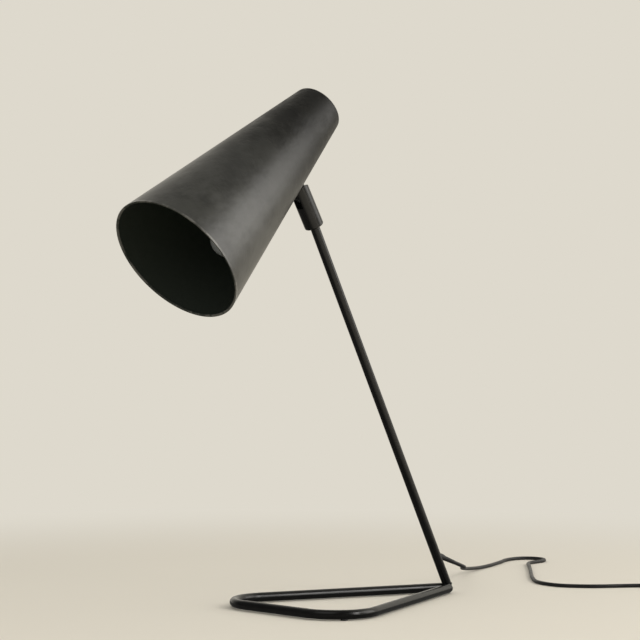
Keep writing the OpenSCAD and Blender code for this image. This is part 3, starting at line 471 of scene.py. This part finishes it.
MOUTH, SHADE_DIP = np.array([0, -215.588, 434.276]) * MM, np.radians(39)
SHADE_AXIS = np.array([0, np.cos(SHADE_DIP), np.sin(SHADE_DIP)])
SHADE_LEN, MOUTH_R, END_R = 306 * MM, 87 * MM, 32.5 * MM

# Each colour is a share of red, green and blue light.
ENAMEL_DARK, ENAMEL_LIGHT = (0.002, 0.002, 0.0016, 1.0), (0.006, 0.006, 0.005, 1.0)
# Paler enamel toward the mouth: painted light, for the brighter light that falls on that end.
PAINTED_LIT_DARK, PAINTED_LIT_LIGHT = (0.013, 0.0133, 0.011, 1.0), (0.030, 0.0303, 0.026, 1.0)
INNER_COAT, BARE_METAL = (0.013, 0.018, 0.0125, 1.0), (0.34, 0.33, 0.30, 1.0)
SATIN_ROUGH, RIM_ROUGH, INNER_ROUGH, MOUTH_COAT_ROUGH = (0.36, 0.50), 0.26, 0.75, 0.38
RIM_WEAR, MOUTH_COAT_WEIGHT = (0.05, 0.32), (0.65, 1.0)


def black(value, warm=0.0):
    """A near black, with its red raised and its blue lowered by the share warm."""
    return (value * (1 + warm), value, value * (1 - warm), 1.0)


def coat(name, dark, light, rough, metallic=0.0, cloud_size=20.0, grain_size=1500.0, grain_depth=0.1,
         specular=0.5, stretch=(1, 1, 1)):
    """A finish with a clouded colour and gloss between two values each, and a fine grain."""
    made, tree, shader, place = material(name)
    cloud = cloud_mask(tree, place, cloud_size, stretch)
    connect(tree, shader, {
        "Base Color": blend_colours(tree, cloud, dark, light),
        "Roughness": span(tree, cloud, 0, 1, *rough),
        "Normal": grain_normal(tree, place, grain_size, grain_depth),
        "Metallic": metallic,
        "Specular IOR Level": specular,
    })
    return made


def glass(name, tint, rough, transmission):
    """Clouded glass."""
    made, tree, shader, place = material(name)
    cloud = cloud_mask(tree, place, 60.0)
    deeper = (*(0.94 * c for c in tint[:3]), 1.0)
    connect(tree, shader, {
        "Base Color": blend_colours(tree, cloud, tint, deeper),
        "Roughness": span(tree, cloud, 0, 1, rough, rough * 1.2),
        "Transmission Weight": transmission,
        "IOR": 1.5,
    })
    return made


def on_shade(tree, place):
    """Sockets of the distance from the mouth along the shade's axis, and of the depth under its outer wall."""
    from_mouth = node(tree, "VectorMath", {0: place, 1: MOUTH}, operation="SUBTRACT").outputs[0]
    along = node(tree, "VectorMath", {0: from_mouth, 1: SHADE_AXIS}, operation="DOT_PRODUCT").outputs["Value"]
    straight = node(tree, "VectorMath", {0: SHADE_AXIS, "Scale": along}, operation="SCALE").outputs[0]
    across = node(tree, "VectorMath", {0: from_mouth, 1: straight}, operation="SUBTRACT").outputs[0]
    off_axis = node(tree, "VectorMath", {0: across}, operation="LENGTH").outputs["Value"]
    wall = math_node(tree, "SUBTRACT", MOUTH_R, product(tree, along, (MOUTH_R - END_R) / SHADE_LEN))
    return along, math_node(tree, "SUBTRACT", wall, off_axis)


def shade_enamel():
    """Satin enamel: clouded, rubbed at the rim, flat black inside. Toward the mouth it is painted paler, as
    painted light for the brighter light on that end, under a rough clear coat.

    The clear coat mirrors more at grazing angles. The end cap looks like the outside.
    """
    made, tree, shader, place = material("enamel_shade")
    along, depth = on_shade(tree, place)
    before_cap = span(tree, along, SHADE_LEN - 4 * MM, SHADE_LEN - 6 * MM)
    inside = product(tree, span(tree, depth, 0.4 * MM, 1.0 * MM), before_cap)
    rim = span(tree, along, 3.2 * MM, 1.2 * MM)
    # Painted light: the enamel turns paler toward the mouth, where more light falls; the same stretch sets the
    # clear coat there.
    mouth_light_and_coat = span(tree, along, SHADE_LEN, 40 * MM)
    cloud = cloud_mask(tree, place, 14.0)
    blotch = cloud_mask(tree, place, 38.0, (1, 0.6, 0.8))
    worn = product(tree, rim, span(tree, blotch, 0.1, 0.8, *RIM_WEAR))
    mouth_coat = product(tree, mouth_light_and_coat, span(tree, blotch, 0, 1, *MOUTH_COAT_WEIGHT))

    plain_enamel = blend_colours(tree, cloud, ENAMEL_DARK, ENAMEL_LIGHT)
    painted_mouth_light = blend_colours(tree, cloud, PAINTED_LIT_DARK, PAINTED_LIT_LIGHT)
    painted = blend_colours(tree, inside, blend_colours(tree, mouth_light_and_coat, plain_enamel, painted_mouth_light), INNER_COAT)
    rough_outside = blend(tree, rim, span(tree, blotch, 0, 1, *SATIN_ROUGH), RIM_ROUGH)
    uneven = node(tree, "Bump", {"Height": cloud, "Strength": 0.5, "Distance": 1.2 * MM,
                                 "Normal": grain_normal(tree, place, 1800.0, 0.08)})
    connect(tree, shader, {
        "Base Color": blend_colours(tree, worn, painted, BARE_METAL),
        "Metallic": worn,
        "Roughness": blend(tree, inside, rough_outside, INNER_ROUGH),
        "Normal": uneven.outputs[0],
        "Coat Weight": product(tree, mouth_coat, span(tree, inside, 1, 0)),
        "Coat Roughness": MOUTH_COAT_ROUGH,
        "Specular IOR Level": 0.3,
    })
    return made


FINISH = {
    "enamel_stand": coat("enamel_stand", black(0.002), black(0.004), (0.20, 0.27), grain_size=2500.0,
                         grain_depth=0.05, specular=0.45),
    "enamel_shade": shade_enamel(),
    "enamel_screws": coat("enamel_screws", black(0.009), black(0.014), (0.35, 0.42)),
    "enamel_bracket": coat("enamel_bracket", black(0.007), black(0.012), (0.5, 0.6)),
    "pad_rubber": coat("pad_rubber", black(0.012), black(0.02), (0.7, 0.8), grain_depth=0.2),
    "cord_sheath": coat("cord_sheath", black(0.006), black(0.011), (0.36, 0.46), cloud_size=60.0,
                        grain_size=3000.0),
    "relief_rubber": coat("relief_rubber", black(0.012), black(0.018), (0.5, 0.6)),
    "zinc_steel": coat("zinc_steel", (0.5, 0.5, 0.48, 1), (0.62, 0.61, 0.58, 1), (0.28, 0.4), metallic=1.0,
                       grain_size=900.0, stretch=(1, 1, 6)),
    "fibre_washer": coat("fibre_washer", (0.25, 0.10, 0.05, 1), (0.34, 0.15, 0.07, 1), (0.6, 0.7),
                         cloud_size=200.0),
    "holder_phenolic": coat("holder_phenolic", black(0.012, 0.05), black(0.018, 0.05), (0.2, 0.28),
                            grain_depth=0.03),
    "holder_ceramic": coat("holder_ceramic", (0.72, 0.70, 0.64, 1), (0.8, 0.78, 0.72, 1), (0.35, 0.45)),
    "holder_brass": coat("holder_brass", (0.68, 0.48, 0.2, 1), (0.8, 0.6, 0.28, 1), (0.22, 0.36), metallic=1.0),
    "bulb_nickel": coat("bulb_nickel", (0.6, 0.58, 0.53, 1), (0.7, 0.68, 0.63, 1), (0.18, 0.3), metallic=1.0),
    "bulb_black_glass": coat("bulb_black_glass", black(0.008), black(0.012), (0.08, 0.14), grain_depth=0.02),
    "filament_wire": coat("filament_wire", (0.3, 0.3, 0.3, 1), (0.4, 0.4, 0.38, 1), (0.35, 0.45), metallic=1.0),
    "switch_plastic": coat("switch_plastic", black(0.014), black(0.02), (0.48, 0.56), grain_size=1600.0,
                           grain_depth=0.35),
    "rocker_plastic": coat("rocker_plastic", black(0.016), black(0.02), (0.22, 0.3), grain_depth=0.05),
    "tie_plastic": coat("tie_plastic", black(0.014), black(0.02), (0.5, 0.6), grain_depth=0.2),
    "plug_plastic": coat("plug_plastic", black(0.014), black(0.02), (0.45, 0.55), grain_size=1600.0,
                         grain_depth=0.3),
    "pin_nickel": coat("pin_nickel", (0.62, 0.6, 0.55, 1), (0.72, 0.7, 0.65, 1), (0.18, 0.28), metallic=1.0),
    # The opal glass is greyed well below white: painted shade, for the dim inside of the shade round the bulb.
    "bulb_opal_glass": glass("bulb_opal_glass", (0.60, 0.64, 0.66, 1.0), 0.3, 0.7),
    "bulb_inner_glass": glass("bulb_inner_glass", (0.9, 0.92, 0.9, 1.0), 0.05, 0.95),
}


def dress(piece, finish):
    """The piece in one finish, whatever it wore before."""
    piece.data.materials.clear()
    piece.data.materials.append(finish)


slot_of = {s["node"]: s["material_slot"] for s in frame["record"]["subparts"]}
for name, piece in nodes.items():
    dress(piece, FINISH[slot_of[name]])
for slot, (piece, *replaced) in MOULDINGS.items():
    dress(piece, FINISH[slot])
dress(bead, FINISH["enamel_stand"])
dress(cord, FINISH["cord_sheath"])


# ---- Floor and background ----

def colour(r, g, b):
    """A colour given in the eight-bit values of a picture, as light."""
    c = np.array([r, g, b]) / 255
    return (*np.where(c <= 0.04045, c / 12.92, ((c + 0.055) / 1.055) ** 2.4), 1.0)


# Diffuse light sees the room bright and even. Glossy rays see it dim, with one bright wall.
BACKGROUND, FLOOR = colour(222, 217, 205), colour(215, 209, 196)
ROOM, ROOM_STRENGTH, AMBIENT_STRENGTH = (0.80, 0.79, 0.76, 1.0), 0.1, 0.95
WALL_SIDE, WALL_EDGE, WALL_FULL = (-0.15, 0.95, -0.25), -0.3, 0.6
FLOOR_RADII, FLOOR_SIDES = np.array([0.4, 1.2, 3.0, 14.0]), 96
FADE_START, FADE_END = 0.6, 1.5

# The floor as glossy rays see it is dimmed up to these stretches of X and Y.
DIM_X, DIM_Y, DIM_SHARE = (0.1, 0.5), (0.3, 0.8), 0.9


def floor_disc():
    """Level disc, with its rings closer together near the lamp."""
    angle = np.linspace(0, 2 * np.pi, FLOOR_SIDES, endpoint=False)
    outlines = FLOOR_RADII[:, None, None] * np.stack([np.cos(angle), np.sin(angle)], 1)
    disc = grid_piece("floor", rings_at(outlines, 0.0), start=(0, 0, 0))
    disc.data.flip_normals()
    return disc


def floor_finish():
    """Matt floor that turns into the background away from the lamp. In front and at the left, glossy rays see the
    dim room instead of it."""
    made, tree, shader, place = material("floor")
    connect(tree, shader, {"Base Color": FLOOR, "Roughness": 0.8, "Specular IOR Level": 0.1})
    ray = node(tree, "LightPath").outputs
    where = node(tree, "SeparateXYZ", {0: place}).outputs
    reach = node(tree, "VectorMath", {0: place}, operation="LENGTH").outputs["Value"]
    room = node(tree, "Emission", {"Color": ROOM, "Strength": ROOM_STRENGTH}).outputs[0]
    backdrop = node(tree, "Emission", {"Color": BACKGROUND, "Strength": 1.0}).outputs[0]
    at_left, in_front = span(tree, where["X"], *DIM_X, DIM_SHARE, 0.0), span(tree, where["Y"], *DIM_Y, 1.0, 0.0)
    dimmed = product(tree, product(tree, at_left, in_front), ray["Is Glossy Ray"])
    near = blend_shaders(tree, dimmed, shader.outputs[0], room)
    fade = product(tree, span(tree, reach, FADE_START, FADE_END), ray["Is Camera Ray"])
    connect(tree, tree.nodes["Material Output"], {"Surface": blend_shaders(tree, fade, near, backdrop)})
    return made


def studio_world():
    """World around the lamp: the backdrop for the camera and through glass, a dim room with one bright wall for
    glossy rays, and plain even light for the rest."""
    world = bpy.data.worlds.new("studio")
    world.use_nodes = True
    tree = world.node_tree
    background = tree.nodes["Background"]
    connect(tree, background, {"Color": BACKGROUND})
    backdrop = background.outputs[0]
    ambient = node(tree, "Background", {"Color": ROOM, "Strength": AMBIENT_STRENGTH}).outputs[0]
    room = node(tree, "Background", {"Color": ROOM, "Strength": ROOM_STRENGTH}).outputs[0]
    ray = node(tree, "LightPath").outputs
    heading = node(tree, "TexCoord").outputs["Generated"]
    toward_wall = node(tree, "VectorMath", {0: heading, 1: WALL_SIDE}, operation="DOT_PRODUCT").outputs["Value"]
    glossy = blend_shaders(tree, span(tree, toward_wall, WALL_EDGE, WALL_FULL), room, backdrop)
    lit = blend_shaders(tree, ray["Is Glossy Ray"], ambient, glossy)
    seen = math_node(tree, "MAXIMUM", ray["Is Camera Ray"], ray["Is Transmission Ray"])
    connect(tree, tree.nodes["World Output"], {"Surface": blend_shaders(tree, seen, lit, backdrop)})
    return world


floor = floor_disc()
dress(floor, floor_finish())
scene.world = studio_world()


# ---- Lights ----

LIGHT_TINT = (1.0, 0.98, 0.95)


def soft_light(name, place, target, width, height, power):
    """An upright area light that faces its target and isn't seen itself."""
    data = bpy.data.lights.new(name, "AREA")
    data.shape = "RECTANGLE"
    data.size, data.size_y = width, height
    data.energy = power
    data.color = LIGHT_TINT
    lamp = bpy.data.objects.new(name, data)
    toward = unit(np.array(target) - np.array(place))
    right = unit(np.cross(toward, [0, 0, 1.0]))
    up = np.cross(right, toward)
    matrix = np.eye(4)
    matrix[:3] = np.stack([right, up, -toward, place], 1)
    lamp.matrix_world = Matrix(matrix.tolist())
    lamp.visible_camera = False
    scene.collection.objects.link(lamp)


# The tubes and the shade mirror the windows at the right. The softbox lifts the front a little.
soft_light("window", place=(2.0, 2.4, 1.6), target=(0, 0, 0.45), width=2.4, height=2.4, power=34)
soft_light("side_window", place=(2.9, 0.45, 1.15), target=(0, 0, 0.35), width=0.7, height=1.9, power=18)
soft_light("high_window", place=(2.4, 0.66, 1.75), target=(0, 0.1, 0.1), width=0.7, height=0.9, power=12)
soft_light("softbox", place=(0.2, -1.0, 1.35), target=(0, -0.2, 0.4), width=1.2, height=1.2, power=2.8)
